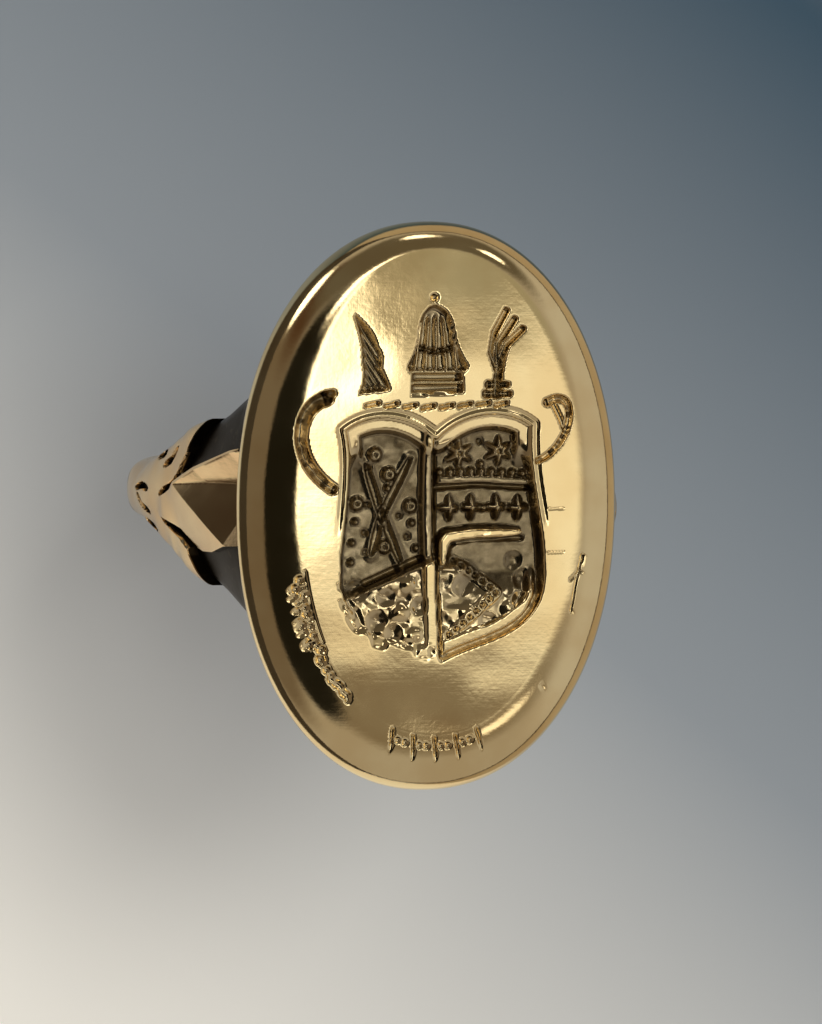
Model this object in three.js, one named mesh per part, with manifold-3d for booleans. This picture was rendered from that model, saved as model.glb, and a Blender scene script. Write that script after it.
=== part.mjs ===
// A gold signet ring: a seal plate on a solid under-bezel, a D-section shank, and two carved
// shoulders that each split into an upper arm, a centre leaf and a lower arm.
//
// Millimetres. The origin is the centre of the finger hole. The finger runs along Y, with the top
// of the seal towards +Y, and the seal face points up, along +Z.

import * as THREE from 'three';
import { mergeVertices } from 'three/addons/utils/BufferGeometryUtils.js';
import Module from 'manifold-3d';

const wasm = await Module();
wasm.setup();

// Driving dimensions

const FINGER_RADIUS = 8.1;
const SHANK_THICKNESS = 1.3;
const SHANK_WIDTH = 2.2;
const SHANK_TOP_Z = -1.6; // where the shank ends and the knuckles begin
const HOOP_RADIUS = FINGER_RADIUS + SHANK_THICKNESS;

const FACE_HALF_WIDTH = 6.95;
const FACE_HALF_LENGTH = 10.25;
const OVAL_POWER = 2.14; // 2 would be a true ellipse
const GIRDLE_Z = 9.5; // underside of the seal plate
const TABLE_Z = 11.1; // the flat table that carries the seal
const TABLE_HALF_WIDTH = 4.95;
const TABLE_HALF_LENGTH = 8.65;
const TABLE_X = 0.09; // the table sits a little nearer the top edge than the bottom one
const TABLE_Y = 0.56;
const ROLL_ANGLE = THREE.MathUtils.degToRad(82); // how far round the rolled rim turns

const SEAM = 0.04; // solder gap between neighbouring pieces
const SEAL_DEPTH = 0.5;
const FINE_DEPTH = 0.25;
const OVERSHOOT = 0.5; // how far a cutter runs past the surface that it opens

const GOLD = { color: 0xc9a55c, roughness: 0.18, metalness: 1 };
const SHADED_GOLD = { color: 0xb78f4e, roughness: 0.24, metalness: 1 };

// Solids

function solidOf(geometry) {
  const bare = new THREE.BufferGeometry();
  bare.setAttribute('position', geometry.getAttribute('position'));
  if (geometry.index) bare.setIndex(geometry.index);
  const merged = mergeVertices(bare, 1e-5);
  return new wasm.Manifold(
    new wasm.Mesh({
      numProp: 3,
      vertProperties: new Float32Array(merged.getAttribute('position').array),
      triVerts: new Uint32Array(merged.index.array),
    }),
  );
}

function geometryOf(solid) {
  const { vertProperties, triVerts } = solid.getMesh();
  const geometry = new THREE.BufferGeometry();
  geometry.setAttribute('position', new THREE.BufferAttribute(vertProperties, 3));
  geometry.setIndex(new THREE.BufferAttribute(triVerts, 1));
  geometry.computeVertexNormals();
  return geometry;
}

// A closed body through rings of points, each anticlockwise when seen from the last ring's side.
function loft(rings) {
  const count = rings[0].length;
  const points = rings.flat();
  const index = [];
  for (let ring = 0; ring + 1 < rings.length; ring++) {
    for (let i = 0; i < count; i++) {
      const a = ring * count + i;
      const b = ring * count + ((i + 1) % count);
      index.push(a, b, b + count, a, b + count, a + count);
    }
  }
  const first = points.push(middleOf(rings[0])) - 1;
  const last = points.push(middleOf(rings.at(-1))) - 1;
  const top = (rings.length - 1) * count;
  for (let i = 0; i < count; i++) {
    const next = (i + 1) % count;
    index.push(first, next, i);
    index.push(last, top + i, top + next);
  }
  const geometry = new THREE.BufferGeometry().setFromPoints(points);
  geometry.setIndex(index);
  return solidOf(geometry);
}

function middleOf(ring) {
  const middle = new THREE.Vector3();
  ring.forEach((point) => middle.add(point));
  return middle.divideScalar(ring.length);
}

// The finger's own cylinder, longer than any piece is wide.
function fingerCutter() {
  const length = 3 * FACE_HALF_LENGTH;
  return solidOf(new THREE.CylinderGeometry(FINGER_RADIUS, FINGER_RADIUS, length, 120));
}

// Head

const OVAL_STEPS = 72;

function oval(halfWidth, halfLength, x, y, z) {
  const ring = [];
  for (let i = 0; i < OVAL_STEPS; i++) {
    const angle = (2 * Math.PI * i) / OVAL_STEPS;
    const across = Math.cos(angle);
    const along = Math.sin(angle);
    const px = Math.sign(across) * Math.abs(across) ** (2 / OVAL_POWER);
    const py = Math.sign(along) * Math.abs(along) ** (2 / OVAL_POWER);
    ring.push(new THREE.Vector3(x + halfWidth * px, y + halfLength * py, z));
  }
  return ring;
}

// The rim rolls from upright at the girdle to a soft crease where it meets the flat table.
function rimRing(turn, edgeZ) {
  const inward = (1 - Math.cos(turn)) / (1 - Math.cos(ROLL_ANGLE));
  const rise = Math.sin(turn) / Math.sin(ROLL_ANGLE);
  const { lerp } = THREE.MathUtils;
  return oval(
    lerp(FACE_HALF_WIDTH, TABLE_HALF_WIDTH, inward),
    lerp(FACE_HALF_LENGTH, TABLE_HALF_LENGTH, inward),
    lerp(0, TABLE_X, inward),
    lerp(0, TABLE_Y, inward),
    lerp(edgeZ, TABLE_Z, rise),
  );
}

function platePlain() {
  const edgeBevel = 0.12;
  const rollSteps = 7;
  const rings = [
    oval(FACE_HALF_WIDTH - edgeBevel, FACE_HALF_LENGTH - edgeBevel, 0, 0, GIRDLE_Z),
  ];
  for (let step = 0; step <= rollSteps; step++) {
    rings.push(rimRing((ROLL_ANGLE * step) / rollSteps, GIRDLE_Z + edgeBevel));
  }
  return loft(rings);
}

function baseBlock(grow) {
  const levels = [
    { z: 4.6, inset: 1.55 },
    { z: 6.6, inset: 1.15 },
    { z: 8.2, inset: 0.75 },
    { z: GIRDLE_Z - SEAM, inset: 0.3 },
  ];
  const rings = levels.map(({ z, inset }) =>
    oval(FACE_HALF_WIDTH - inset + grow, FACE_HALF_LENGTH - inset + grow, 0, 0, z),
  );
  return loft(rings);
}

// Seal

const DIVIDER_WIDTH = 0.26;
const BAR_WIDTH = 0.24;
const STAVE_WIDTH = 0.22;

// A prism that cuts the outline of a shape into the table.
function tableCutter(shape, depth) {
  const geometry = new THREE.ExtrudeGeometry(shape, {
    depth: depth + OVERSHOOT,
    bevelEnabled: false,
    curveSegments: 8,
  });
  geometry.translate(0, 0, TABLE_Z - depth);
  return solidOf(geometry);
}

function bar(x0, y0, x1, y1, width) {
  const along = new THREE.Vector2(x1 - x0, y1 - y0);
  const side = new THREE.Vector2(-along.y, along.x).setLength(width / 2);
  const shape = new THREE.Shape();
  shape.moveTo(x0 + side.x, y0 + side.y);
  shape.lineTo(x0 - side.x, y0 - side.y);
  shape.lineTo(x1 - side.x, y1 - side.y);
  shape.lineTo(x1 + side.x, y1 + side.y);
  shape.closePath();
  return shape;
}

// The shield has two lobes along its top and a rounded foot that ends in a point.
function shieldShape() {
  const shape = new THREE.Shape();
  shape.moveTo(0.2, -5.3);
  shape.bezierCurveTo(1.6, -4.75, 4.05, -4.6, 3.95, -2.0);
  shape.bezierCurveTo(3.9, -0.4, 3.5, 1.0, 3.5, 2.9);
  shape.quadraticCurveTo(1.7, 3.95, 0.1, 2.6);
  shape.quadraticCurveTo(-1.6, 3.85, -3.2, 2.75);
  shape.bezierCurveTo(-3.0, 1.0, -3.3, -0.6, -3.4, -2.1);
  shape.bezierCurveTo(-3.5, -4.4, -1.3, -4.9, 0.2, -5.3);
  return shape;
}

function shieldCutter() {
  const ribs = [
    bar(0.1, 4, 0.25, -6, DIVIDER_WIDTH),
    bar(0.1, 0.5, 5, 0.5, BAR_WIDTH),
    bar(0.1, -1.0, 5, -1.0, BAR_WIDTH),
    bar(-2.6, 1.9, -0.7, -2.9, STAVE_WIDTH),
    bar(-0.45, 1.9, -2.6, -2.9, STAVE_WIDTH),
  ];
  let field = tableCutter(shieldShape(), SEAL_DEPTH);
  for (const rib of ribs) field = field.subtract(tableCutter(rib, SEAL_DEPTH + OVERSHOOT));
  return field;
}

function leafCrest() {
  const shape = new THREE.Shape();
  shape.moveTo(-2.7, 4.15);
  shape.quadraticCurveTo(-2.5, 5.0, -2.9, 6.9);
  shape.quadraticCurveTo(-1.7, 6.0, -1.95, 4.9);
  shape.lineTo(-1.6, 4.15);
  shape.closePath();
  return shape;
}

function helmCrest() {
  const shape = new THREE.Shape();
  shape.moveTo(-0.85, 4.05);
  shape.lineTo(-0.85, 4.85);
  shape.lineTo(-1.05, 5.1);
  shape.quadraticCurveTo(-0.7, 5.6, -0.65, 6.4);
  shape.quadraticCurveTo(-0.5, 7.3, 0, 7.35);
  shape.quadraticCurveTo(0.6, 7.3, 0.7, 6.4);
  shape.quadraticCurveTo(0.8, 5.6, 1.2, 5.1);
  shape.lineTo(0.95, 4.85);
  shape.lineTo(1.0, 4.05);
  shape.closePath();
  return shape;
}

function plumeCrest() {
  const shape = new THREE.Shape();
  shape.moveTo(1.85, 4.05);
  shape.quadraticCurveTo(2.3, 5.0, 2.0, 5.7);
  shape.quadraticCurveTo(2.2, 6.5, 2.6, 7.0);
  shape.lineTo(2.55, 6.3);
  shape.lineTo(3.1, 6.35);
  shape.quadraticCurveTo(2.5, 5.4, 2.75, 4.05);
  shape.closePath();
  return shape;
}

// A crescent between two arcs that share their ends, as a scroll beside the shield.
function scrollShape(x, y, side) {
  const shape = new THREE.Shape();
  shape.moveTo(x, y + 1.5);
  shape.quadraticCurveTo(x + side * 1.9, y + 0.3, x + side * 0.3, y - 1.5);
  shape.quadraticCurveTo(x + side * 1.3, y + 0.2, x, y + 1.5);
  return shape;
}

function torseDashes() {
  const dashes = 8;
  const first = -2.4;
  const pitch = 0.66;
  const shapes = [];
  for (let i = 0; i < dashes; i++) {
    const x = first + pitch * i;
    shapes.push(bar(x, 3.68, x + 0.4, 3.7, 0.12));
  }
  return shapes;
}

function signetPlate() {
  let plate = platePlain().subtract(shieldCutter());
  for (const crest of [leafCrest(), helmCrest(), plumeCrest()]) {
    plate = plate.subtract(tableCutter(crest, SEAL_DEPTH));
  }
  const fine = [scrollShape(-3.75, 2.3, -1), scrollShape(4.0, 2.4, 1), ...torseDashes()];
  for (const shape of fine) plate = plate.subtract(tableCutter(shape, FINE_DEPTH));
  return plate;
}

function bezelBase() {
  return baseBlock(0).subtract(fingerCutter());
}

// Shank

function shank() {
  const half = SHANK_WIDTH / 2;
  const flat = 0.7 * half; // the inside is flat across this much, with eased edges
  const shape = new THREE.Path();
  shape.moveTo(FINGER_RADIUS, -flat);
  shape.quadraticCurveTo(FINGER_RADIUS, -half, FINGER_RADIUS + 0.35, -half);
  shape.quadraticCurveTo(HOOP_RADIUS, -half, HOOP_RADIUS, 0);
  shape.quadraticCurveTo(HOOP_RADIUS, half, FINGER_RADIUS + 0.35, half);
  shape.quadraticCurveTo(FINGER_RADIUS, half, FINGER_RADIUS, flat);
  shape.lineTo(FINGER_RADIUS, -flat);
  const hoop = solidOf(new THREE.LatheGeometry(shape.getPoints(4), 96));
  const size = 3 * HOOP_RADIUS;
  const upper = new THREE.BoxGeometry(size, size, size);
  upper.translate(0, 0, SHANK_TOP_Z - SEAM + size / 2);
  return hoop.subtract(solidOf(upper));
}

// Shoulders. Both are drawn on the +X side, and the left one is turned half a turn about Z.

// The outer line of the shoulder in the XZ plane, from the hoop up to the girdle.
const SHOULDER_LINE = new THREE.CubicBezierCurve(
  new THREE.Vector2(Math.sqrt(HOOP_RADIUS ** 2 - SHANK_TOP_Z ** 2), SHANK_TOP_Z),
  new THREE.Vector2(9.5, 0.6),
  new THREE.Vector2(8.7, 4.7),
  new THREE.Vector2(6.75, GIRDLE_Z - SEAM),
);
const SHOULDER_STEPS = 16;
const SHOULDER_INSIDE_X = 4.8; // inside the finger hole and the base, which both cut it away

// Half widths against height: of the knuckle with its leaf tips, the arms and the centre leaf.
const KNUCKLE_WIDTHS = [[-1.6, 1.1], [0.2, 1.15], [1.8, 1.55], [3.4, 2.05], [4.8, 2.7], [7.5, 3.4]];
const ARM_WIDTHS = [[3, 1.8], [5.4, 2.6], [7, 3.3], [8.4, 4.1], [9.5, 5.1]];
const LEAF_WIDTHS = [[2, 0.1], [3.4, 0.35], [5, 1.0], [7, 1.75], [9.5, 1.75]];
// How much lower the shoulder's edges are than its middle, against height.
const CROWN = [[-1.6, 0.85], [1, 0.5], [4, 0.4], [9.5, 0.75]];

const KNUCKLE_TOP_Z = 7.4;
const ARM_START_Z = 5;
const LEAF_START_Z = 3.2;
const LEAF_BLANK_Z = 2; // the leaf is cut to its point from a blank that starts lower
const LEAF_PROUD = 0.08; // the leaf's sides stand this far out of the arms
// And its ridge stands this much further, against height.
const LEAF_RIDGE = [[2, 0], [3.2, 0.05], [5, 0.2], [7, 0.25], [9.5, 0.15]];

// The upper edge of the knuckle in side view, from the middle out to a leaf tip.
const KNUCKLE_EDGE = [[0, 5.7], [1.4, 5.8], [2.3, 6.2], [3.4, 6.8]];

function valueAt(table, z) {
  const next = Math.max(1, table.findIndex(([height]) => height >= z));
  const [z0, value0] = table[next - 1];
  const [z1, value1] = table[next];
  return THREE.MathUtils.mapLinear(z, z0, z1, value0, value1);
}

function crowned(z, side) {
  return -valueAt(CROWN, z) * side ** 2;
}

function keeled(z, side) {
  const share = valueAt(LEAF_WIDTHS, z) / valueAt(ARM_WIDTHS, z);
  return crowned(z, share) + LEAF_PROUD + valueAt(LEAF_RIDGE, z) * (1 - Math.abs(side));
}

// The full shoulder between two heights. relief gives the outer face's shape: how far it lies
// outside the shoulder line at a height, with side running from -1 to 1 across the width.
function shoulderBlank(widths, lowZ, highZ, relief) {
  const acrossSteps = 8;
  const stations = SHOULDER_LINE.getPoints(SHOULDER_STEPS).filter(
    (station) => station.y >= lowZ && station.y <= highZ,
  );
  const rings = stations.map(({ x, y: z }) => {
    const half = valueAt(widths, z);
    const ring = [];
    for (let i = 0; i <= acrossSteps; i++) {
      const side = (2 * i) / acrossSteps - 1;
      ring.push(new THREE.Vector3(x + relief(z, side), half * side, z));
    }
    ring.push(new THREE.Vector3(SHOULDER_INSIDE_X, half, z));
    ring.push(new THREE.Vector3(SHOULDER_INSIDE_X, -half, z));
    return ring;
  });
  return loft(rings).subtract(fingerCutter()).subtract(baseBlock(SEAM));
}

// A prism along X with the given outline, drawn with Y across and Z up.
function sidePrism(points) {
  const shape = new THREE.Shape(points.map(([y, z]) => new THREE.Vector2(y, z)));
  const geometry = new THREE.ExtrudeGeometry(shape, {
    depth: 2 * HOOP_RADIUS,
    bevelEnabled: false,
  });
  geometry.rotateX(Math.PI / 2);
  geometry.rotateZ(Math.PI / 2);
  return solidOf(geometry);
}

const PAST_GIRDLE_Z = GIRDLE_Z + OVERSHOOT;
const PAST_EDGE_Y = KNUCKLE_EDGE.at(-1)[0];

function leafPrism(grow) {
  const side = LEAF_WIDTHS.map(([z, half]) => [half + grow, z]);
  side[0] = [grow, LEAF_START_Z - grow];
  side[side.length - 1][1] = PAST_GIRDLE_Z;
  const otherSide = side.map(([y, z]) => [-y, z]).reverse();
  return sidePrism([...side, ...otherSide]);
}

function knuckle() {
  const below = SHANK_TOP_Z - OVERSHOOT;
  const otherEdge = KNUCKLE_EDGE.slice(1).map(([y, z]) => [-y, z]);
  const outline = sidePrism([
    [-PAST_EDGE_Y, below],
    [PAST_EDGE_Y, below],
    ...[...KNUCKLE_EDGE].reverse(),
    ...otherEdge,
  ]);
  return shoulderBlank(KNUCKLE_WIDTHS, SHANK_TOP_Z, KNUCKLE_TOP_Z, crowned)
    .intersect(outline)
    .subtract(leafPrism(SEAM));
}

// side is 1 for the arm towards +Y and -1 for the one towards -Y.
function arm(side) {
  const wide = FACE_HALF_LENGTH;
  const edge = KNUCKLE_EDGE.map(([y, z]) => [y * side, z + SEAM]);
  const outline = sidePrism([
    ...edge,
    [wide * side, edge.at(-1)[1]],
    [wide * side, PAST_GIRDLE_Z],
    [0, PAST_GIRDLE_Z],
  ]);
  return shoulderBlank(ARM_WIDTHS, ARM_START_Z, GIRDLE_Z, crowned)
    .intersect(outline)
    .subtract(leafPrism(SEAM));
}

function centreLeaf() {
  return shoulderBlank(LEAF_WIDTHS, LEAF_BLANK_Z, GIRDLE_Z, keeled).intersect(leafPrism(0));
}

// Assembly

function piece(name, solid, gold) {
  const mesh = new THREE.Mesh(geometryOf(solid), new THREE.MeshStandardMaterial(gold));
  mesh.name = name;
  return mesh;
}

function shoulder(name, upperSide) {
  const group = new THREE.Group();
  group.add(piece(`${name}_knuckle`, knuckle(), GOLD));
  group.add(piece(`${name}_upper_arm`, arm(upperSide), SHADED_GOLD));
  group.add(piece(`${name}_centre_leaf`, centreLeaf(), GOLD));
  group.add(piece(`${name}_lower_arm`, arm(-upperSide), SHADED_GOLD));
  return group;
}

const ring = new THREE.Group();
ring.add(piece('signet_plate', signetPlate(), GOLD));
ring.add(piece('bezel_base', bezelBase(), SHADED_GOLD));
ring.add(piece('shank', shank(), GOLD));
ring.add(shoulder('right', 1));
const left = shoulder('left', -1);
left.rotation.z = Math.PI;
ring.add(left);

export default ring;
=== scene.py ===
# A gold signet ring: an oval face with a seal cut into it, on a saddled under-bezel, a D-section
# shank, and carved shoulders. Lengths are in millimetres until a mesh is made, in the frame's axes:
# +Z out of the seal, +Y towards the top of the seal, the finger hole round the Y axis.

import math

import bpy
import numpy as np
from mathutils import Matrix, Vector


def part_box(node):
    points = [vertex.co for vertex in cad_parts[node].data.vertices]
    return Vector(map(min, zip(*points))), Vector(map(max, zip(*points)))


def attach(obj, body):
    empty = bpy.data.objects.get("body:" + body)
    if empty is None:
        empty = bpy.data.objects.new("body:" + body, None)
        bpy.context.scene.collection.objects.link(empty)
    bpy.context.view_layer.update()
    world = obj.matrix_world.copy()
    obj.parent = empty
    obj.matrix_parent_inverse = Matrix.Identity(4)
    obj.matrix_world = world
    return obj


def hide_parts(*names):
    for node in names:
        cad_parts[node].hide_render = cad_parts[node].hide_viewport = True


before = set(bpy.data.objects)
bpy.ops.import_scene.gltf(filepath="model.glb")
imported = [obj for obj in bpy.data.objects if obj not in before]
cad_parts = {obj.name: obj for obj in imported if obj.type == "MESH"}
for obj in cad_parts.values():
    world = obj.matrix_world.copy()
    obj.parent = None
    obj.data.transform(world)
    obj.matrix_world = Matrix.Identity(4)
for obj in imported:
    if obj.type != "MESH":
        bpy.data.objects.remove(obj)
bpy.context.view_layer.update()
MM = 0.001


def node_box(name):
    low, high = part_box(name)
    return np.array(low) / MM, np.array(high) / MM


# Sizes from the frame

plate_low, plate_high = node_box("signet_plate")
shank_low, shank_high = node_box("shank")
FACE_HALF_WIDTH = plate_high[0]
FACE_HALF_LENGTH = plate_high[1]
TABLE_Z = plate_high[2]
GIRDLE_Z = plate_low[2]
SHANK_HALF_WIDTH = shank_high[1]
SHANK_TOP_Z = shank_high[2]
HOOP_RADIUS = -shank_low[2]
SHANK_THICKNESS = 1.3
FINGER_RADIUS = HOOP_RADIUS - SHANK_THICKNESS

OVAL_POWER = 2.14
TABLE_HALF_WIDTH = 4.95
TABLE_HALF_LENGTH = 8.65
TABLE_CENTRE = np.array([0.09, 0.56])
TABLE_DOME = 0.13  # how much lower the table's edge lies than its middle
END_DOME = 0.16  # and how much lower again at its two ends
SEAM = 0.03


# Small mathematics


def smoothstep(low, high, value):
    share = np.clip((value - low) / (high - low), 0, 1)
    return share * share * (3 - 2 * share)


def bezier(points, steps=16):
    """Points along a Bezier curve of any degree."""
    share = np.linspace(0, 1, steps + 1)[:, None]
    level = [np.array(point, float)[None, :] for point in points]
    while len(level) > 1:
        level = [a * (1 - share) + b * share for a, b in zip(level, level[1:])]
    return level[0] * np.ones_like(share)


def outline(*curves, steps=14):
    """A closed outline through Bezier curves that follow on from each other."""
    return np.concatenate([bezier(curve, steps)[:-1] for curve in curves])


def noise(x, y, cell, seed):
    """Smooth value noise from -1 to 1 on a grid of the given cell size."""
    random = np.random.default_rng(seed)
    table = random.uniform(-1, 1, (64, 64))
    u, v = x / cell + 17.3, y / cell + 29.1
    i, j = np.floor(u).astype(int), np.floor(v).astype(int)
    fu, fv = smoothstep(0, 1, u - i), smoothstep(0, 1, v - j)

    def corner(a, b):
        return table[(i + a) % 64, (j + b) % 64]

    near = corner(0, 0) * (1 - fu) + corner(1, 0) * fu
    far = corner(0, 1) * (1 - fu) + corner(1, 1) * fu
    return near * (1 - fv) + far * fv


def line_distance(x, y, points):
    """Distance to a polyline, and how far along it the nearest point lies, from 0 to 1."""
    points = np.asarray(points, float)
    best = np.full(x.shape, 1e9)
    along = np.zeros(x.shape)
    for k, (a, b) in enumerate(zip(points, points[1:])):
        step = b - a
        share = ((x - a[0]) * step[0] + (y - a[1]) * step[1]) / (step @ step)
        share = np.clip(share, 0, 1)
        distance = np.hypot(x - a[0] - share * step[0], y - a[1] - share * step[1])
        closer = distance < best
        best = np.where(closer, distance, best)
        along = np.where(closer, (k + share) / (len(points) - 1), along)
    return best, along


def inside_distance(x, y, points):
    """Distance to a closed outline, positive inside it."""
    closed = np.vstack([points, points[:1]])
    distance, _ = line_distance(x, y, closed)
    crossings = np.zeros(x.shape, bool)
    for a, b in zip(closed, closed[1:]):
        spans = (a[1] > y) != (b[1] > y)
        rise = b[1] - a[1] if b[1] != a[1] else 1e-9
        crossings ^= spans & (x < a[0] + (y - a[1]) * (b[0] - a[0]) / rise)
    return np.where(crossings, distance, -distance)


# Cutting: each function gives a depth in millimetres at every point


def scoop(x, y, points, depth, reach):
    """A recess that deepens towards its middle, as a round graver leaves it."""
    share = np.clip(inside_distance(x, y, points) / reach, 0, 1)
    return depth * np.sqrt(share * (2 - share))


def groove(x, y, points, depth, width, taper=0.0):
    """A round-bottomed line cut, which may thin out towards its far end."""
    distance, along = line_distance(x, y, points)
    half = width / 2 * (1 - taper * along)
    share = np.clip(1 - (distance / half) ** 2, 0, 1)
    return depth * share * (1 - taper * along)


def slot_cut(y, z, points, width):
    """A steep-sided line cut, from 0 outside to 1 along its flat bottom."""
    distance, along = line_distance(y, z, points)
    half = width / 2 * (1 - 0.5 * np.abs(2 * along - 1) ** 6)
    return smoothstep(half, 0.45 * half, distance)


def dimple(x, y, centre, radius, depth):
    share = np.clip(1 - ((x - centre[0]) ** 2 + (y - centre[1]) ** 2) / radius**2, 0, 1)
    return depth * share


def star(x, y, centre, radius, points, depth):
    """A pointed star, cut as sloping facets that meet in its middle."""
    dx, dy = x - centre[0], y - centre[1]
    angle = np.arctan2(dx, dy)
    wave = np.abs(((angle * points / (2 * np.pi)) % 1) * 2 - 1)
    reach = radius * (0.42 + 0.58 * wave)
    return depth * np.clip(1.15 - np.hypot(dx, dy) / reach, 0, 1)


# The shield and its charges. They are plain heraldic shapes, not anybody's arms.

SHIELD = outline(
    [(0.25, -5.45), (1.4, -4.75), (3.2, -4.75), (3.85, -3.3)],
    [(3.85, -3.3), (4.25, -2.2), (3.95, -0.8), (3.78, 0.3)],
    [(3.78, 0.3), (3.6, 1.3), (3.5, 2.2), (3.56, 3.0)],
    [(3.56, 3.0), (2.6, 3.75), (1.0, 3.6), (0.03, 2.58)],
    [(0.03, 2.58), (-1.0, 3.55), (-2.4, 3.6), (-3.32, 2.87)],
    [(-3.32, 2.87), (-3.05, 1.9), (-3.25, 0.2), (-3.4, -1.17)],
    [(-3.4, -1.17), (-3.7, -3.0), (-3.2, -4.3), (-2.01, -4.85)],
    [(-2.01, -4.85), (-1.2, -5.2), (-0.4, -5.1), (0.25, -5.45)],
)
DIVIDER = [(-0.2, 3.0), (-0.22, 0.0), (-0.12, -3.0), (0.0, -5.3)]
DIVIDER_CUT = [(0.0, 2.7), (0.02, 0.0), (0.1, -3.0), (0.22, -5.3)]
UPPER_BAR = [(0.0, 1.0), (1.6, 1.06), (3.6, 0.92)]
UPPER_BAR_CUT = [(0.0, 0.74), (1.6, 0.84), (3.6, 0.7)]
LOWER_BAR = [(0.3, -1.9), (0.3, -1.3), (0.5, -1.0), (1.3, -0.9), (3.1, -0.84)]
LOWER_BAR_CUT = [(0.55, -1.75), (0.6, -1.4), (0.85, -1.2), (1.6, -1.1), (3.3, -1.1)]
STAVES = [[(-2.43, 1.6), (-1.83, -0.2), (-1.15, -1.9)], [(-0.82, 1.8), (-1.83, -0.2), (-2.2, -1.6)]]
SLOPE_CUT = [(-0.4, -1.78), (-1.3, -2.15), (-2.45, -2.66)]
SHALLOWEST = 0.04  # the least depth of the shield's ground
CHEVRON = [(0.5, -1.7), (1.4, -2.3), (2.3, -3.0), (1.5, -3.7), (0.55, -4.5)]
MULLETS = [(0.95, 1.98), (2.4, 2.05)]
CROSSLETS = [(0.62, 0.02), (1.42, 0.04), (2.34, 0.04), (3.14, 0.0)]
BEADED_LINE = [(0.25, 1.3), (1.6, 1.34), (3.3, 1.24)]
ROUNDELS = [(-2.1, 1.95), (-1.6, 1.25), (-2.75, 0.2), (-0.8, 0.1), (-1.75, -1.35)]
SMALL_DOTS = [
    (-2.3, 1.5), (-1.65, 0.75), (-2.35, 0.15), (-2.8, -0.45), (-2.45, -0.85), (-2.9, -1.2),
    (-1.2, -0.25), (-0.75, -0.5), (-0.9, -1.0), (-0.6, -1.4), (-2.4, -1.55), (-2.95, -1.9),
    (1.02, 0.02), (1.86, 0.0), (2.72, 0.04), (1.75, 1.6), (1.7, 2.4),
]
BASE_CHARGES = [
    (-0.95, -2.65), (-1.75, -3.15), (-2.75, -2.9), (-1.2, -3.7), (-0.5, -3.45), (-2.1, -3.95),
    (-0.7, -4.5), (-1.5, -4.4), (1.05, -2.75), (1.2, -3.7), (3.0, -1.9), (3.35, -2.6),
    (2.7, -3.6), (3.2, -3.3), (2.0, -4.1),
]


def bead_row(points, count):
    """Evenly spaced places along a polyline."""
    points = np.array(points)
    run = np.concatenate([[0], np.cumsum(np.hypot(*np.diff(points, axis=0).T))])
    at = np.linspace(0, run[-1], count)
    return np.column_stack([np.interp(at, run, points[:, 0]), np.interp(at, run, points[:, 1])])


def shield_walls(y, inside):
    """From 0 at the shield's outline to 1 at the foot of its walls. The top wall has a ledge."""
    top = smoothstep(1.3, 2.6, y)
    wall = 0.24 + 0.5 * top + 0.12 * smoothstep(-3.2, -4.6, y)
    sloped = smoothstep(0, 1, inside / wall)
    stepped = 0.3 * smoothstep(0, 0.14, inside) + 0.7 * smoothstep(0.46, 0.7, inside)
    return sloped * (1 - top) + stepped * top


def shallow_ground(x, y, right):
    """1 in the lower parts of the shield, where the ground is shallow and rough, and 0 elsewhere."""
    under_slope = smoothstep(-1.6, -1.95, y - 0.43 * x)
    foot = smoothstep(-2.2, -3.3, y)
    beside_chevron = smoothstep(-1.8, -2.3, y) * smoothstep(1.7, 0.9, x)
    return under_slope * (1 - right) + np.maximum(foot, beside_chevron) * right


def partitions(x, y, right):
    """The ribs that divide the shield, which stand up, and the lines cut beside them."""
    relief = groove(x, y, DIVIDER_CUT, 0.42, 0.18) + groove(x, y, SLOPE_CUT, 0.26, 0.24)
    relief -= 0.2 * slot_cut(x, y, DIVIDER, 0.6) + groove(x, y, DIVIDER, 0.12, 0.6)
    relief += right * groove(x, y, UPPER_BAR_CUT, 0.3, 0.22)
    relief -= right * 0.24 * slot_cut(x, y, UPPER_BAR, 0.4)
    relief += right * groove(x, y, LOWER_BAR_CUT, 0.16, 0.22)
    relief -= right * 0.62 * slot_cut(x, y, LOWER_BAR, 0.62)
    return relief


def charges(x, y):
    """The figures on the shield: some stand up from the ground and some are cut into it."""
    relief = np.zeros(x.shape)
    for stave in STAVES:
        relief += 0.26 * slot_cut(x, y, stave, 0.34) - groove(x, y, stave, 0.08, 0.6)
    relief -= 0.12 * slot_cut(x, y, CHEVRON, 0.5)
    for centre in bead_row(CHEVRON, 15):
        relief += dimple(x, y, centre, 0.13, 0.24)
    for centre in bead_row(BEADED_LINE, 9):
        relief -= dimple(x, y, centre, 0.17, 0.3)
    for centre in MULLETS:
        relief -= star(x, y, centre, 0.56, 6, 0.46) - dimple(x, y, centre, 0.14, 0.3)
    for centre in CROSSLETS:
        relief -= star(x, y, centre, 0.46, 4, 0.42)
    for centre in ROUNDELS:
        relief -= dimple(x, y, centre, 0.29, 0.3) - dimple(x, y, centre, 0.11, 0.2)
    for k, centre in enumerate(SMALL_DOTS):
        relief -= dimple(x, y, centre, 0.14, 0.3 if k % 2 else -0.14)
    for k, centre in enumerate(BASE_CHARGES):
        relief += dimple(x, y, centre, 0.3 + 0.05 * (k % 3), 0.11 if k % 3 else -0.1)
    return relief


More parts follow.
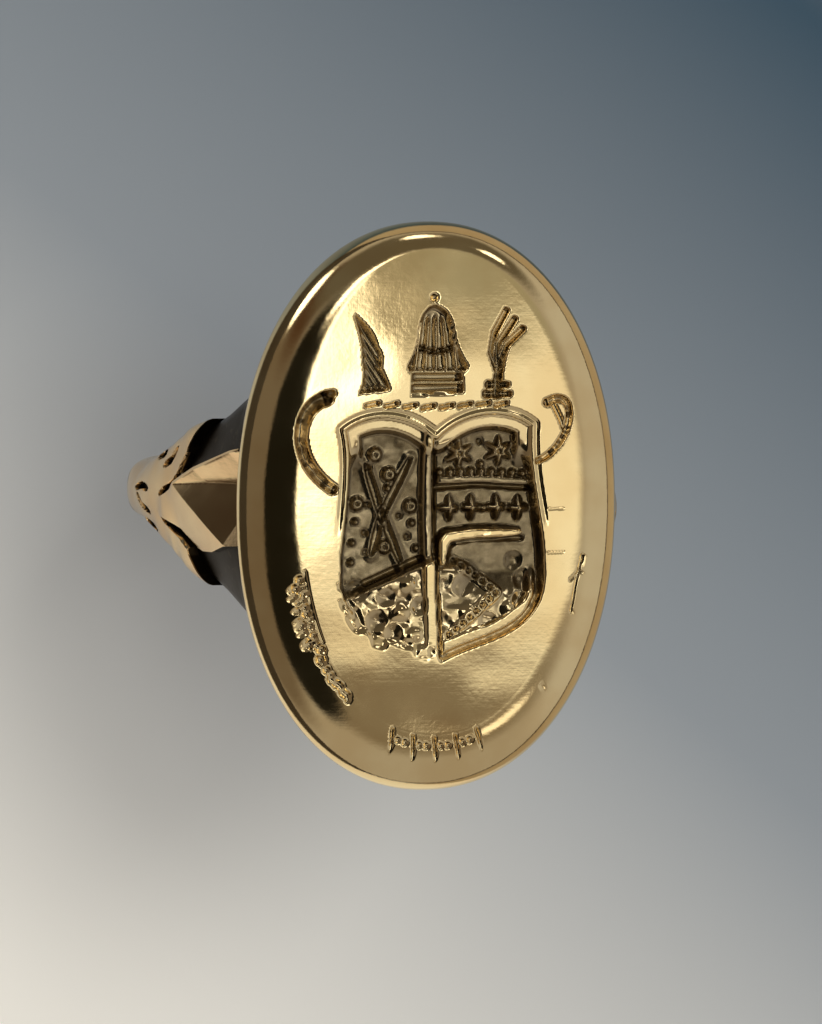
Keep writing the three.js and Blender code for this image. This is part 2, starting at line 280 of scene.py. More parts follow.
def shield_depth(x, y):
    """How deep the shield is cut, and how far each point lies inside its outline."""
    inside = inside_distance(x, y, SHIELD)
    right = smoothstep(0.0, 0.25, x)
    shallow = shallow_ground(x, y, right)
    ground = 0.42 + 0.26 * np.clip(1 - ((y + 0.9) / 4.6) ** 2, 0, 1) - 0.4 * shallow
    relief = partitions(x, y, right) + charges(x, y)
    relief += (0.012 + 0.040 * shallow) * noise(x, y, 0.45, 11)
    relief += (0.007 + 0.014 * shallow) * noise(x, y, 0.2, 12)
    return shield_walls(y, inside) * np.maximum(ground + relief, SHALLOWEST), inside


def shield_border(x, y, inside):
    """The thin line cut round the shield, and the heavier ones along its lower right."""
    around = 0.07 * np.clip(1 - ((inside + 0.16) / 0.1) ** 2, 0, 1)
    upper = smoothstep(-1.0, 0.5, y)
    lower_right = smoothstep(0.1, 0.5, x) * smoothstep(-2.0, -3.0, y)
    heavy = 0.26 * np.clip(1 - ((inside - 0.1) / 0.14) ** 2, 0, 1)
    heavy -= 0.34 * np.clip(1 - ((inside - 0.42) / 0.2) ** 2, 0, 1)
    lower_left = smoothstep(0.2, -0.3, x) * smoothstep(-1.0, -2.4, y)
    rim = smoothstep(-0.2, 0.0, inside) * smoothstep(0.6, 0.25, inside)
    chips = 0.10 * noise(x, y, 0.3, 21)
    return around * upper + heavy * lower_right + chips * rim * lower_left


# What surrounds the shield: two crests, a barred helm, a row of twists and two side scrolls

LEAF_CREST = outline(
    [(-2.78, 4.15), (-2.5, 4.7), (-2.65, 5.3)],
    [(-2.65, 5.3), (-2.6, 6.0), (-2.95, 7.0)],
    [(-2.95, 7.0), (-2.2, 6.4), (-2.1, 5.8)],
    [(-2.1, 5.8), (-1.85, 5.5), (-1.95, 5.0)],
    [(-1.95, 5.0), (-1.75, 4.6), (-1.6, 4.15)],
    steps=8,
)
HELM = outline(
    [(-0.88, 4.05), (-0.9, 4.5), (-0.85, 4.85)],
    [(-0.85, 4.85), (-1.0, 4.95), (-1.02, 5.15)],
    [(-1.02, 5.15), (-0.66, 5.7), (-0.62, 6.4)],
    [(-0.62, 6.4), (-0.5, 7.2), (-0.02, 7.3)],
    [(-0.02, 7.3), (0.55, 7.2), (0.68, 6.4)],
    [(0.68, 6.4), (0.76, 5.7), (1.18, 5.15)],
    [(1.18, 5.15), (1.15, 4.95), (0.95, 4.85)],
    [(0.95, 4.85), (1.05, 4.5), (1.05, 4.05)],
    steps=8,
)
PLUME_STROKES = [
    [(2.25, 4.1), (2.3, 4.9), (2.05, 5.6), (2.15, 6.3), (2.6, 7.1)],
    [(2.25, 4.6), (2.4, 5.4), (2.6, 5.9), (3.2, 6.45)],
    [(2.3, 5.2), (2.3, 5.9), (2.9, 6.8)],
    [(1.85, 4.12), (2.7, 4.12)],
    [(1.95, 4.45), (2.62, 4.45)],
]
LEFT_SCROLL = bezier([(-3.95, 4.0), (-5.0, 3.7), (-5.4, 1.9), (-3.7, 0.75)], 16)
LEFT_SCROLL_END = [(-4.1, 4.05), (-3.75, 4.15)]
RIGHT_SCROLL = bezier([(4.1, 3.8), (5.3, 4.5), (5.2, 2.3), (3.75, 1.7)], 16)
RIGHT_SCROLL_TAIL = [(4.25, 3.9), (4.6, 3.2), (4.75, 2.8)]


def crest_depth(x, y):
    depth = scoop(x, y, LEAF_CREST, 0.46, 0.3) * (1 - 0.35 * np.cos(9 * (y + 1.6 * x)) ** 2)
    helm = scoop(x, y, HELM, 0.40, 0.2)
    crown = smoothstep(4.9, 5.1, y)
    bars = 0.26 * np.clip(np.cos(2 * np.pi * (y - 4.13) / 0.4), 0, 1) * (1 - crown)
    ribs = 0.22 * np.clip(np.cos(2 * np.pi * (x - 0.05) / (0.2 + 0.07 * (7.6 - y))), 0, 1)
    slit = groove(x, y, [(-0.5, 5.75), (0.05, 5.6), (0.6, 5.75)], 0.2, 0.2)
    sunk = smoothstep(0.15, 0.3, helm)
    depth += np.maximum(helm + (slit - bars - ribs * crown * smoothstep(7.0, 6.5, y)) * sunk, 0)
    depth += dimple(x, y, (-0.03, 7.55), 0.17, 0.16)
    for stroke in PLUME_STROKES:
        depth = np.maximum(depth, groove(x, y, stroke, 0.48, 0.34, 0.3))
    return depth


def scroll_depth(x, y):
    left = groove(x, y, LEFT_SCROLL, 0.5, 0.56, 0.3) * (1 + 0.15 * noise(x, y, 0.22, 31))
    left = np.maximum(left, groove(x, y, LEFT_SCROLL_END, 0.3, 0.34))
    right = groove(x, y, RIGHT_SCROLL, 0.34, 0.32, 0.3) * (1 + 0.4 * noise(x, y, 0.25, 32))
    right = np.maximum(right, groove(x, y, RIGHT_SCROLL_TAIL, 0.12, 0.22))
    return left + right


def torse_depth(x, y):
    depth = np.zeros(x.shape)
    for k in range(8):
        start = -2.5 + 0.67 * k
        sag = 0.05 * math.cos(k)
        stroke = [(start, 3.68 + sag), (start + 0.42, 3.76 + sag)]
        depth = np.maximum(depth, groove(x, y, stroke, 0.3, 0.17))
    return depth


# The ribbon that runs round the foot of the seal: beads and dashes where a motto would be

# How far out each row of beads runs, its first and last angle, and how many beads are in it
RIBBON_BEADS = [(1.05, 199.5, 233, 22), (1.1, 200.5, 214, 9)]
RIM_STROKES = [[(5.43, -1.7), (5.2, -2.7), (5.02, -3.75)], [(5.35, -2.3), (4.98, -2.6)]]
RIM_PIT = (4.0, -6.4)
HAIRLINE_HEIGHTS = [-0.02, -1.6]


def ribbon_point(angle, grow):
    across, along = math.cos(angle), math.sin(angle)
    reach = (abs(across) ** OVAL_POWER + abs(along) ** OVAL_POWER) ** (-1 / OVAL_POWER) * grow
    return TABLE_CENTRE + reach * np.array([TABLE_HALF_WIDTH * across, TABLE_HALF_LENGTH * along])


def ribbon_line(start, end, grow, steps=14):
    turns = np.radians(np.linspace(start, end, steps))
    return [ribbon_point(turn, grow) for turn in turns]


def ribbon_beads(x, y):
    """Beads of uneven size, strung along the ribbon on the left."""
    random = np.random.default_rng(71)
    depth = np.zeros(x.shape)
    for grow, start, end, count in RIBBON_BEADS:
        for turn in np.linspace(start, end, count):
            place = ribbon_point(math.radians(turn + random.uniform(-0.4, 0.4)),
                                 grow + random.uniform(-0.015, 0.015))
            size = random.uniform(0.13, 0.24)
            depth = np.maximum(depth, dimple(x, y, place, size, 0.85 * size))
    return depth


def ribbon_dashes(x, y):
    """Short dashes with two beads between each, along the ribbon at the foot."""
    depth = np.zeros(x.shape)
    for k, turn in enumerate(np.linspace(252, 287, 13)):
        if k % 3:
            place = ribbon_point(math.radians(turn), 1.05)
            depth = np.maximum(depth, dimple(x, y, place, 0.15, 0.12))
        else:
            ends = [ribbon_point(math.radians(turn), 1.015), ribbon_point(math.radians(turn + 1), 1.09)]
            depth = np.maximum(depth, groove(x, y, ends, 0.14, 0.17))
    return depth


def ribbon_depth(x, y):
    """The ribbon, and the stray marks on the right of the rim."""
    depth = groove(x, y, ribbon_line(198, 216, 1.01), 0.06, 0.12)
    depth = np.maximum(depth, ribbon_beads(x, y))
    depth = np.maximum(depth, ribbon_dashes(x, y))
    for stroke in RIM_STROKES:
        depth = np.maximum(depth, groove(x, y, stroke, 0.11, 0.13, 0.3))
    for height in HAIRLINE_HEIGHTS:
        depth = np.maximum(depth, groove(x, y, [(4.15, height), (4.74, height)], 0.022, 0.07))
    return np.maximum(depth, dimple(x, y, RIM_PIT, 0.12, 0.1))


def seal_depth(x, y):
    shield, inside = shield_depth(x, y)
    shield = np.maximum(shield + shield_border(x, y, inside), 0)
    return shield + crest_depth(x, y) + scroll_depth(x, y) + torse_depth(x, y) + ribbon_depth(x, y)


# Meshes


CRISP_ANGLE = math.radians(38)


def make_object(name, points, faces, material, cuts=None, crisp=True):
    """One piece from points in millimetres, shown in place of the CAD node of the same name."""
    mesh = bpy.data.meshes.new(name)
    mesh.from_pydata((np.asarray(points) * MM).tolist(), [], [list(face) for face in faces])
    mesh.validate()
    mesh.shade_smooth()
    if crisp:
        mesh.set_sharp_from_angle(angle=CRISP_ANGLE)
    # The cut attribute holds each point's cut depth, and on the shoulders' arms and walls their painted
    # dark
    if cuts is not None:
        attribute = mesh.attributes.new("cut", "FLOAT", "POINT")
        attribute.data.foreach_set("value", np.asarray(cuts, np.float32))
    mesh.materials.append(material)
    piece = bpy.data.objects.new(name, mesh)
    bpy.context.scene.collection.objects.link(piece)
    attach(piece, "root")
    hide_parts(name)
    return piece


def grid_faces(rows, columns, start=0, wrap=False):
    """Faces between rows of points, each row following the last."""
    last = columns if wrap else columns - 1
    row, column = np.meshgrid(np.arange(rows - 1), np.arange(last), indexing="ij")
    a = start + row * columns + column
    b = start + row * columns + (column + 1) % columns
    return np.stack([a, b, b + columns, a + columns], -1).reshape(-1, 4)


def oval_reach(across, along):
    return (np.abs(across) ** OVAL_POWER + np.abs(along) ** OVAL_POWER) ** (-1 / OVAL_POWER)


# Signet plate

PLATE_COLUMNS = 191
PLATE_ROWS = 331
ROLL_START, ROLL_END = math.radians(4), math.radians(86)
ROLL_MARKED = math.radians(20)  # the roll carries marks as far as this, and is finer there
ROLL_TURNS = np.concatenate([
    np.linspace(ROLL_START, ROLL_MARKED, 16)[1:],
    np.linspace(ROLL_MARKED, ROLL_END, 16)[1:],
])
EDGE_BEVEL = 0.12


def plate_surface():
    """Rows over the table, then rings down the rolled rim: position, and share of the roll."""
    v, u = np.meshgrid(np.linspace(-1, 1, PLATE_ROWS), np.linspace(-1, 1, PLATE_COLUMNS), indexing="ij")
    across, along = u * np.sqrt(1 - v**2 / 2), v * np.sqrt(1 - u**2 / 2)
    radius = np.hypot(across, along)
    safe = np.maximum(radius, 1e-9)
    reach = np.where(radius > 1e-9, oval_reach(across / safe, along / safe), 1)
    x = TABLE_CENTRE[0] + TABLE_HALF_WIDTH * across * reach
    y = TABLE_CENTRE[1] + TABLE_HALF_LENGTH * along * reach
    z = TABLE_Z - TABLE_DOME * radius**2 - END_DOME * along**4
    table = np.stack([x, y, z], -1).reshape(-1, 3)

    index = np.arange(PLATE_ROWS * PLATE_COLUMNS).reshape(PLATE_ROWS, PLATE_COLUMNS)
    edge = np.concatenate([index[0, :-1], index[:-1, -1], index[-1, :0:-1], index[:0:-1, 0]])
    out = np.stack([across.ravel()[edge], along.ravel()[edge]], -1)
    out *= oval_reach(out[:, 0], out[:, 1])[:, None]
    rim = out * np.array([FACE_HALF_WIDTH, FACE_HALF_LENGTH])
    rim_low = GIRDLE_Z + EDGE_BEVEL
    rings = []
    for turn in ROLL_TURNS:
        outward = (math.sin(turn) - math.sin(ROLL_START)) / (math.sin(ROLL_END) - math.sin(ROLL_START))
        drop = (math.cos(ROLL_START) - math.cos(turn)) / (math.cos(ROLL_START) - math.cos(ROLL_END))
        flat = table[edge, :2] * (1 - outward) + rim * outward
        height = table[edge, 2] * (1 - drop) + rim_low * drop
        rings.append(np.column_stack([flat, height]))
    for turn in np.radians([30, 60, 90]):
        flat = rim - EDGE_BEVEL * (1 - math.cos(turn)) * out
        rings.append(np.column_stack([flat, np.full(len(edge), rim_low - EDGE_BEVEL * math.sin(turn))]))
    return table, edge, np.array(rings)


def signet_plate(material):
    table, edge, rings = plate_surface()
    count = len(edge)
    points = np.concatenate([table, rings.reshape(-1, 3), [[0, 0, GIRDLE_Z]]])
    shallow = smoothstep(GIRDLE_Z + 0.6, TABLE_Z - 0.7, points[:, 2])
    depth = seal_depth(points[:, 0], points[:, 1]) * shallow
    wavy = 0.020 * noise(points[:, 0], points[:, 1], 2.6, 41)
    wavy += 0.006 * noise(points[:, 0], points[:, 1], 1.1, 42)
    points[:, 2] -= depth + wavy * smoothstep(GIRDLE_Z, TABLE_Z, points[:, 2])
    points[-1, 2] = GIRDLE_Z

    faces = [grid_faces(PLATE_ROWS, PLATE_COLUMNS)]
    start = len(table)
    ring_count = len(rings)
    first = np.stack([edge, start + np.arange(count), start + np.roll(np.arange(count), -1),
                      np.roll(edge, -1)], -1)
    faces.append(first)
    faces.append(grid_faces(ring_count, count, start, wrap=True)[:, ::-1])
    last = start + (ring_count - 1) * count
    centre = len(points) - 1
    fan = [(last + (k + 1) % count, last + k, centre) for k in range(count)]
    quads = np.concatenate(faces).tolist()
    return make_object("signet_plate", points, quads + fan, material, depth, crisp=False)


# Under-bezel

BASE_STEPS = 240
BASE_WALL_RINGS, BASE_UNDER_RINGS = 22, 30
BASE_INSETS = np.polyfit([4.6, 6.6, 8.2, 9.46], [1.55, 1.15, 0.75, 0.3], 2)


def base_half(z):
    inset = np.polyval(BASE_INSETS, z)
    return FACE_HALF_WIDTH - inset, FACE_HALF_LENGTH - inset


def base_reach(z, angle):
    """How far out the under-bezel's wall lies at a height, in each direction round it."""
    half_width, half_length = base_half(z)
    reach = oval_reach(np.cos(angle), np.sin(angle))
    return half_width * reach * np.cos(angle), half_length * reach * np.sin(angle)


def bezel_base(material):
    angle = np.linspace(0, 2 * np.pi, BASE_STEPS, endpoint=False)
    top = GIRDLE_Z - SEAM
    foot = np.full(BASE_STEPS, 7.0)
    for _ in range(40):  # settles where the wall runs out on the finger hole
        x, _ = base_reach(foot, angle)
        foot = 0.5 * foot + 0.5 * np.sqrt(np.maximum(FINGER_RADIUS**2 - x**2, 1))
    rings = [np.column_stack([*(0.97 * np.array(base_reach(top, angle))), np.full(BASE_STEPS, top)])]
    for share in np.linspace(0, 1, BASE_WALL_RINGS):
        z = top * (1 - share) + foot * share
        x, y = base_reach(z, angle)
        rings.append(np.column_stack([x, y, z]))
    foot_x, foot_y = base_reach(foot, angle)
    for share in np.linspace(1, 0.02, BASE_UNDER_RINGS)[1:]:
        x, y = foot_x * share, foot_y * share
        rings.append(np.column_stack([x, y, np.sqrt(FINGER_RADIUS**2 - x**2)]))
    rings = np.array(rings)
    points = rings.reshape(-1, 3)
    faces = grid_faces(len(rings), BASE_STEPS, wrap=True)[:, ::-1].tolist()
    faces.append(list(range(BASE_STEPS)))
    faces.append([(len(rings) - 1) * BASE_STEPS + k for k in reversed(range(BASE_STEPS))])
    return make_object("bezel_base", points, faces, material)


# Shank

SHANK_STEPS = 300
SHANK_EASE = 0.35  # how far up the sides of the D the finger side's rounding reaches


def shank_section():
    """The D-shaped section as radius and width, anticlockwise, rounder than a plain D."""
    half = SHANK_HALF_WIDTH
    flat = 0.7 * half
    inner, outer, eased = FINGER_RADIUS, HOOP_RADIUS, FINGER_RADIUS + SHANK_EASE
    return outline(
        [(inner, -flat), (inner, -half), (eased, -half)],
        [(eased, -half), (outer, -half), (outer, 0)],
        [(outer, 0), (outer, half), (eased, half)],
        [(eased, half), (inner, half), (inner, flat)],
        [(inner, flat), (inner, 0), (inner, -flat)],
        steps=10,
    )


def shank(material):
    section = shank_section()
    radius, width = section[:, 0], section[:, 1]
    start = np.arcsin(-SHANK_TOP_Z / radius)
    rings = []
    for share in np.linspace(0, 1, SHANK_STEPS + 1):
        turn = start * (1 - share) + (np.pi - start) * share
        wear = 0.012 * noise(np.degrees(turn) / 6, width + 3 * radius, 1.0, 51)
        wear *= math.sin(math.pi * share)
        reach = radius - np.abs(wear)
        rings.append(np.column_stack([reach * np.cos(turn), width, -reach * np.sin(turn)]))
    count = len(section)
    points = np.concatenate(rings)
    faces = grid_faces(len(rings), count, wrap=True).tolist()
    faces.append(list(range(count))[::-1])
    faces.append([SHANK_STEPS * count + k for k in range(count)])
    return make_object("shank", points, faces, material)


# Shoulders. They are worked out on the left side, in the plane of Y and Z, with the distance out
# from the ring's middle as the height; the right shoulder is the left one turned about Z.

SHOULDER_TOP_Z = GIRDLE_Z - SEAM
SHOULDER_LINE = bezier(
    [(math.sqrt(HOOP_RADIUS**2 - SHANK_TOP_Z**2), SHANK_TOP_Z), (9.5, 0.6), (8.7, 4.7),
     (6.75, SHOULDER_TOP_Z)],
    200,
)

RIGHT_SLIM = 0.35  # how much less the right shoulder stands out than the left one
THINNEST = 0.08  # the least thickness of a shoulder piece
LIP_SHARE = 0.05  # how far down its walls a shoulder piece keeps its outer face's colour, before the walls' painted shade
ARM_PAINTED_DARK = 0.32  # painted dark reflection and shade: the arms are coloured as dark as a cut this deep
WALL_PAINTED_SHADE = 0.3  # painted shade on the walls above the knuckle, as dark as a cut this deep

# Half widths and other values against height
KNUCKLE_LOW_Z = -1.6  # its foot in the CAD, just above the shank's end
KNUCKLE_HALF = [
    (KNUCKLE_LOW_Z, 1.1), (0.2, 1.15), (1.8, 1.55), (3.4, 2.05), (4.8, 2.7), (7.5, 3.4),
]
ARM_HALF = [(3, 1.8), (5.4, 2.6), (7, 3.3), (8.4, 4.1), (9.5, 5.1)]
CROWN = [(KNUCKLE_LOW_Z, 0.85), (1, 0.5), (4, 0.4), (9.5, 0.75)]
LEAF_UPPER = [(2.6, -0.25), (3.2, 0.0), (4.45, 0.42), (4.95, 0.7), (6.4, 1.3), (8.9, 2.05), (9.5, 2.15)]
LEAF_LOWER = [(2.6, -0.35), (3.2, -0.74), (4.88, -1.24), (5.5, -1.55), (6.5, -1.76), (7.4, -1.72),
              (8.6, -1.42), (9.5, -1.35)]
LEAF_START_Z = 2.6
KNUCKLE_EDGE = [(0, 5.3), (1.0, 5.25), (2.0, 5.5), (2.8, 6.0), (3.4, 6.3)]  # its top against |y|

APEX = (0.58, 4.95)  # where the leaf's two ridges meet
UPPER_RIDGE = [APEX, (1.2, 6.5), (1.95, 8.9), (2.1, 9.6)]
LOWER_RIDGE = [APEX, (-0.35, 6.8), (-1.35, 8.6), (-1.45, 9.6)]

UPPER_CUT = [(0.12, 3.26), (0.56, 4.45), (0.9, 4.9), (1.8, 5.6)]
LOWER_CUT = [(-0.81, 3.43), (-1.24, 4.88), (-1.6, 5.52), (-2.13, 6.56), (-2.7, 7.16)]
KNUCKLE_STROKES = [
    [(0.18, 0.43), (0.3, 1.1), (0.24, 1.98)],
    [(-0.04, 0.72), (-0.45, 1.2), (-0.65, 2.03)],
    [(1.42, 2.36), (1.64, 3.26)],
    [(1.88, 4.39), (1.41, 3.96), (1.17, 3.37)],
    [(-1.0, 1.0), (-1.25, 2.3)],
]


def at_height(table, z):
    heights, values = np.array(table).T
    return np.interp(z, heights, values)


def shoulder_x(z):
    return np.interp(z, SHOULDER_LINE[:, 1], SHOULDER_LINE[:, 0])


def rounded(side, share):
    """How far an edge has rounded over, from 0 inside to 1 at the very edge."""
    turn = np.clip((np.abs(side) - 1 + share) / share, 0, 1)
    return 1 - np.sqrt(1 - turn**2)


def inner_x(y, z):
    """The finger hole below, and the under-bezel's wall above."""
    finger = np.sqrt(np.maximum(FINGER_RADIUS**2 - z**2, 0))
    half_width, half_length = base_half(np.maximum(z, 4.6))
    share = np.clip(1 - np.abs(y / half_length) ** OVAL_POWER, 0, 1) ** (1 / OVAL_POWER)
    return np.maximum(finger, np.where(z > 4.6, (half_width + SEAM) * share, 0))


def knuckle_edge(y):
    """How high the knuckle's top edge lies."""
    return np.interp(np.abs(y), *np.array(KNUCKLE_EDGE).T)


def knuckle_out(y, z):
    """How far out the knuckle stands from the shoulder's line, and how deep its cuts are there."""
    side = np.clip(np.abs(y / at_height(KNUCKLE_HALF, z)), 0, 1)
    as_shank = (SHANK_THICKNESS - SHANK_EASE) * (1 - np.sqrt(1 - side)) ** 2
    as_block = at_height(CROWN, z) * side**2 + 0.35 * rounded(side, 0.2)
    climb = smoothstep(SHANK_TOP_Z, 0.6, z)
    out = -as_shank * (1 - climb) - as_block * climb
    out += 0.16 * smoothstep(4.2, 5.6, z) * side
    cuts = 0.42 * slot_cut(y, z, UPPER_CUT, 0.36) + 0.42 * slot_cut(y, z, LOWER_CUT, 0.36)
    for stroke in KNUCKLE_STROKES:
        cuts = np.maximum(cuts, 0.3 * slot_cut(y, z, stroke, 0.3))
    dents = 0.02 * noise(y, z, 0.7, 61)
    return out - cuts + dents, cuts


def leaf_out(y, z):
    """The same for the leaf: two ridges from its apex, with an uneven valley between them."""
    side = y / at_height(ARM_HALF, np.maximum(z, 3))
    upper, _ = line_distance(y, z, UPPER_RIDGE)
    lower, _ = line_distance(y, z, LOWER_RIDGE)
    between = inside_distance(y, z, np.array(UPPER_RIDGE + LOWER_RIDGE[:0:-1])) > 0
    stand = 0.26 * smoothstep(2.8, 5.0, z)
    width = upper + lower + 1e-6
    share = upper / width
    valley = np.where(share < 0.36, share / 0.36, (1 - share) / 0.64)
    outside = np.minimum(upper, lower)
    out = -at_height(CROWN, z) * side**2 + stand
    out -= np.where(between, 0.36 * width * valley, 0.2 * outside * smoothstep(3.5, 5.0, z))
    cuts = 0.4 * slot_cut(y, z, UPPER_CUT, 0.36) + 0.4 * slot_cut(y, z, LOWER_CUT, 0.36)
    return out - cuts, cuts


def arm_out(y, z):
    """The same for an arm, which lies lower than the knuckle and is painted dark all over, standing in
    for its dark reflection and shade.
    """
    side = y / at_height(ARM_HALF, z)
    out = -at_height(CROWN, z) * np.clip(np.abs(side), 0, 1) ** 2
    out -= 0.26 - 0.10 * smoothstep(0, 3.5, z - knuckle_edge(y))
    out -= 0.3 * rounded(side, 0.16)
    return out, np.full(y.shape, ARM_PAINTED_DARK)


def grid_quads(grids):
    """The faces along grids of point numbers, and the edges that only one face has."""
    quads = np.concatenate([
        np.stack([grid[:-1, :-1], grid[:-1, 1:], grid[1:, 1:], grid[1:, :-1]], -1).reshape(-1, 4)
        for grid in grids
    ])
    edges = np.concatenate([quads[:, [k, (k + 1) % 4]] for k in range(4)]).tolist()
    used = {(a, b) for a, b in edges}
    return quads, sorted((a, b) for a, b in used if (b, a) not in used)


def shell(name, y, z, out, cuts, grids, side, material):
    """A closed piece from a grid of outer points and the same grid again on its inner side. The
    faces follow grids of point numbers, which may share points where they meet."""
    slim = RIGHT_SLIM * smoothstep(SHANK_TOP_Z, 3.0, z) if side == "right" else 0
    outer_x = shoulder_x(z) + out - slim
    within = np.minimum(inner_x(y, z), outer_x - THINNEST)
    outer = np.stack([-outer_x, y, z], -1).reshape(-1, 3)
    inner = np.stack([-within, y, z], -1).reshape(-1, 3)
    lip = outer + LIP_SHARE * (inner - outer)
    points = np.concatenate([outer, lip, inner])
    if side == "right":
        points[:, :2] *= -1

    quads, rim = grid_quads(grids)
    shift = len(outer)
    faces = quads[:, ::-1].tolist() + (quads + 2 * shift).tolist()
    for low in (0, shift):
        faces += [(a + low, b + low, b + low + shift, a + low + shift) for a, b in rim]

    lip_points = np.array(rim).ravel() + shift
    keep = np.unique(np.concatenate([quads.ravel(), lip_points, quads.ravel() + 2 * shift]))
    number = np.zeros(len(points), int)
    number[keep] = np.arange(len(keep))
    faces = [[int(number[i]) for i in face] for face in faces]
    # The walls and the inner side carry painted shade above the knuckle; the outer face carries its cut
    # depths
    wall_shade = WALL_PAINTED_SHADE * smoothstep(4.0, 4.8, z.ravel())
    depth = np.concatenate([cuts.ravel(), wall_shade, wall_shade])[keep]
    return make_object(name, points[keep], faces, material, depth)


KNUCKLE_COLUMNS = 44  # on each side of the middle
KNUCKLE_ROWS = 70  # below the leaf's point, and again above it
LEAF_ROWS, LEAF_COLUMNS = 150, 76
ARM_ROWS, ARM_COLUMNS = 80, 60
SETTLE_STEPS = 30  # enough for an edge found by halving to stop moving


def knuckle(side, material):
    """One grid up to the leaf's point, and one on each side of the leaf above it."""
    share = np.linspace(0, 1, KNUCKLE_COLUMNS)
    share = np.concatenate([share[::-1], share])
    sign = np.repeat([-1.0, 1.0], KNUCKLE_COLUMNS)

    def across(z):
        beside = np.where(sign > 0, at_height(LEAF_UPPER, z) - 0.05, at_height(LEAF_LOWER, z) + 0.05)
        middle = -0.3 * smoothstep(KNUCKLE_LOW_Z, LEAF_START_Z, z)
        start = np.where(z > LEAF_START_Z, beside, middle)
        return start * (1 - share) + sign * at_height(KNUCKLE_HALF, z) * share

    top = np.full(share.shape, 6.0)
    for _ in range(SETTLE_STEPS):
        top = 0.5 * top + 0.5 * knuckle_edge(across(top))
    low = np.linspace(SHANK_TOP_Z, LEAF_START_Z, KNUCKLE_ROWS)[:, None] + np.zeros(share.shape)
    climb = np.linspace(0, 1, KNUCKLE_ROWS + 1)[1:, None]
    z = np.concatenate([low, LEAF_START_Z * (1 - climb) + top * climb])
    y = across(z)
    index = np.arange(z.size).reshape(z.shape)
    index[:KNUCKLE_ROWS, KNUCKLE_COLUMNS] = index[:KNUCKLE_ROWS, KNUCKLE_COLUMNS - 1]
    grids = [index[:, :KNUCKLE_COLUMNS], index[:, KNUCKLE_COLUMNS:]]
    out, cuts = knuckle_out(y, z)
    return shell(f"{side}_knuckle", y, z, out, cuts, grids, side, material)


def centre_leaf(side, material):
    z = np.linspace(LEAF_START_Z, SHOULDER_TOP_Z, LEAF_ROWS)[:, None] + np.zeros((1, LEAF_COLUMNS))
    share = np.linspace(0, 1, LEAF_COLUMNS)[None, :]
    y = at_height(LEAF_LOWER, z) * (1 - share) + at_height(LEAF_UPPER, z) * share
    out, cuts = leaf_out(y, z)
    index = np.arange(z.size).reshape(z.shape)
    return shell(f"{side}_centre_leaf", y, z, out, cuts, [index], side, material)


def arm(side, towards, material):
    """towards is 1 for the arm towards the top of the seal on the left, and -1 for the other."""
    share = np.linspace(0, 1, ARM_COLUMNS)[None, :]
    climb = np.linspace(0, 1, ARM_ROWS)[:, None]

    def across(z):
        leaf = at_height(LEAF_UPPER, z) if towards > 0 else -at_height(LEAF_LOWER, z)
        return (leaf - 0.06) * (1 - share) + at_height(ARM_HALF, z) * share

    low = np.full(share.shape, 6.0)
    for _ in range(SETTLE_STEPS):
        low = 0.5 * low + 0.5 * (knuckle_edge(across(low)) - 0.1)
    z = low * (1 - climb) + SHOULDER_TOP_Z * climb
    y = towards * across(z)
    if towards < 0:
        y, z = y[:, ::-1], z[:, ::-1]  # so that the faces still turn outwards
    # an arm's cuts hold no real cuts, only its painted dark reflection and shade
    out, cuts = arm_out(y, z)
    index = np.arange(z.size).reshape(z.shape)
    upper = (towards > 0) == (side == "left")
    name = f"{side}_{'upper' if upper else 'lower'}_arm"
    return shell(name, y, z, out, cuts, [index], side, material)


def shoulder(side, material):
    knuckle(side, material)
    centre_leaf(side, material)
    arm(side, 1, material)
    arm(side, -1, material)


# Gold


class Nodes:
    """Short-hand for building a node tree."""

    def __init__(self, tree):
        self.tree = tree
        tree.nodes.clear()

    def add(self, kind, inputs=None, **settings):
        node = self.tree.nodes.new(kind)
        for key, value in settings.items():
            setattr(node, key, value)
        for key, value in (inputs or {}).items():
            if isinstance(value, bpy.types.NodeSocket):
                self.tree.links.new(value, node.inputs[key])
            else:
                node.inputs[key].default_value = value
        return node

    def math(self, operation, a, b=0.0, clamp=False):
        node = self.add("ShaderNodeMath", {0: a, 1: b}, operation=operation, use_clamp=clamp)
        return node.outputs[0]

    def mix(self, factor, a, b):
        node = self.add("ShaderNodeMix", data_type="RGBA")
        for socket, value in ((node.inputs[0], factor), (node.inputs[6], a), (node.inputs[7], b)):
            if isinstance(value, bpy.types.NodeSocket):
                self.tree.links.new(value, socket)
            else:
                socket.default_value = value
        return node.outputs[2]

    def ramp(self, value, low, high, to_low=0.0, to_high=1.0, kind="SMOOTHSTEP"):
        inputs = {0: value, 1: low, 2: high, 3: to_low, 4: to_high}
        node = self.add("ShaderNodeMapRange", inputs, interpolation_type=kind)
        return node.outputs[0]

    def noise(self, vector, scale, detail=2.0, stretch=None):
        if stretch:
            vector = self.add("ShaderNodeMapping", {"Vector": vector, "Scale": stretch}).outputs[0]
        node = self.add("ShaderNodeTexNoise", {"Vector": vector, "Scale": scale, "Detail": detail})
        return node.outputs["Fac"]


# The dark of the patina in the cuts, also laid on as painted shade there and on the shoulders' arms and
# walls
PATINA_AND_SHADE = (0.026, 0.018, 0.010, 1)
DULL_GOLD = (0.66, 0.53, 0.34, 1)  # in the cuts, where the polish never reached


def gold_colour(nodes, place, cut, dirt_and_shade, bright, deep):
    """Polished gold that drifts slowly in colour, dull in the cuts, and darkened in them by dirt
    together with painted shade.
    """
    drift = nodes.ramp(nodes.noise(place, 380, 3), 0.35, 0.65)
    colour = nodes.mix(drift, (*deep, 1), (*bright, 1))
    colour = nodes.mix(nodes.ramp(cut, 0.04, 0.3, 0.0, 0.75), colour, DULL_GOLD)
    return nodes.mix(dirt_and_shade, colour, PATINA_AND_SHADE)


